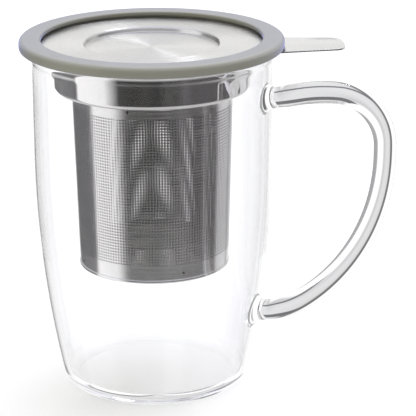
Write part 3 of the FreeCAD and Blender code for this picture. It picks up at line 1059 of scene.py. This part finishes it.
def studio_world():
    """Backdrop for the camera, a soft level for the floor and ring, and rooms for steel and glass."""
    world = bpy.data.worlds.new("studio")
    world.use_nodes = True
    world.cycles.sampling_method = "NONE"
    tree = world.node_tree
    tree.nodes.clear()
    way = put(tree, "ShaderNodeTexCoord").outputs["Generated"]
    x, y, height = put(tree, "ShaderNodeSeparateXYZ", {0: way}).outputs
    compass = maths(tree, "DIVIDE", maths(tree, "ARCTAN2", y, x), 2 * math.pi)
    camera_compass = (VIEW_AZIMUTH - 90) / 360
    place = maths(tree, "FRACT", maths(tree, "ADD", compass, 1.5 - camera_compass))
    path = put(tree, "ShaderNodeLightPath").outputs
    mirrored = maths(tree, "GREATER_THAN", path["Glossy Depth"], 0.5)
    in_rod = through_rod(tree, path)
    in_glass = maths(tree, "GREATER_THAN", path["Transmission Depth"], 0.5)
    overhead = height_step(tree, height, OVERHEAD_FROM, OVERHEAD_FULL)
    low = height_step(tree, height, LOW_FROM, LOW_FULL)
    steel = blended(tree, low, round_the_room(tree, place, STEEL_ROOM), LOW_GREY, "LIGHTEN")
    ceiling = height_step(tree, height, *CEILING)
    above, below = height_step(tree, height, *WALLS_ABOVE), height_step(tree, height, *WALLS_BELOW)
    walls = maths(tree, "MULTIPLY", maths(tree, "ADD", above, below), in_glass)
    bare = maths(tree, "MULTIPLY", ceiling, maths(tree, "SUBTRACT", 1.0, in_glass))
    pale = maths(tree, "ADD", bare, walls)
    twice = maths(tree, "GREATER_THAN", path["Glossy Depth"], 1.5)
    pale = maths(tree, "MAXIMUM", pale, maths(tree, "MULTIPLY", twice, in_glass))
    steel = blended(tree, pale, steel, HIGH_GREY, "LIGHTEN")
    steel = blended(tree, overhead, steel, OVERHEAD)
    glass = blended(tree, overhead, round_the_room(tree, place, GLASS_ROOM), OVERHEAD)
    from_front = maths(tree, "ABSOLUTE", maths(tree, "SUBTRACT", place, 0.5))
    from_back = maths(tree, "SUBTRACT", 0.5, from_front)
    behind = maths(tree, "LESS_THAN", from_back, GAP_HALF_WIDTH / 360)
    rod = glass
    for low_edge, high_edge in GAPS:
        in_gap = maths(
            tree, "SUBTRACT",
            height_step(tree, height, low_edge, low_edge + GAP_EDGE),
            height_step(tree, height, high_edge, high_edge + GAP_EDGE),
        )
        rod = blended(tree, maths(tree, "MULTIPLY", in_gap, behind), rod, GAP_DARK)
    backdrop = blended(tree, in_glass, grey(BACKDROP), grey(BACKDROP_THROUGH_GLASS))
    straight = blended(tree, in_rod, backdrop, rod)
    turned_back = blended(tree, in_rod, steel, glass)
    seen = blended(tree, mirrored, straight, turned_back)
    scattered = maths(tree, "GREATER_THAN", path["Diffuse Depth"], 0.5)
    light = blended(tree, scattered, seen, grey(SOFT_LIGHT))
    glow = put(tree, "ShaderNodeBackground", {"Color": light, "Strength": 1.0})
    put(tree, "ShaderNodeOutputWorld", {"Surface": glow.outputs[0]})
    return world


bpy.context.scene.world = studio_world()

LAMPS = {
    "overhead": ((0.1, 0.35, 1.0), 2.75, 50, (0.93, 0.95, 1.2), False),
    "front_fill": ((-0.5, -0.8, 0.45), 0.35, 60, (1.0, 0.98, 0.72), False),
    "brush_light": ((-0.14, 0.99, 1.0), 0.22, 7, (0.94, 0.94, 1.0), True),
}
for name, (towards, strength, softness, colour, shines) in LAMPS.items():
    lamp = bpy.data.lights.new(name, "SUN")
    lamp.energy = strength
    lamp.angle = math.radians(softness)
    lamp.color = colour
    holder = bpy.data.objects.new(name, lamp)
    holder.rotation_euler = Vector(towards).to_track_quat("Z", "Y").to_euler()
    holder.visible_glossy = shines
    holder.visible_transmission = False
    bpy.context.collection.objects.link(holder)

# Camera. A long lens, a little above the lid, on the side of the mug that shows the handle in
# full, turned a trace about its own line of sight.
VIEW_ELEVATION = 17.85
VIEW_ROLL = 0.279
VIEW_DISTANCE = 0.7924
VIEW_CENTRE = Vector((0.01879, 0.00684, 0.06567))
SENSOR = 36.0
PHOTO_WIDTH = 416
VIEW_LIMIT = 50
FOCAL_PIXELS = 2142

camera = bpy.data.objects.new("camera", bpy.data.cameras.new("camera"))
bpy.context.collection.objects.link(camera)
azimuth, elevation = math.radians(VIEW_AZIMUTH), math.radians(VIEW_ELEVATION)
level = math.cos(elevation)
back = Vector((math.sin(azimuth) * level, -math.cos(azimuth) * level, math.sin(elevation)))
camera.data.sensor_width = SENSOR
camera.data.lens = SENSOR * FOCAL_PIXELS / PHOTO_WIDTH
camera.data.clip_end = VIEW_LIMIT
camera.location = VIEW_CENTRE + back * VIEW_DISTANCE
turn = (-back).to_track_quat("-Z", "Y")
camera.rotation_euler = (turn.to_matrix() @ Matrix.Rotation(-math.radians(VIEW_ROLL), 3, "Z")).to_euler()
bpy.context.scene.camera = camera
bpy.context.scene.view_settings.view_transform = "Standard"
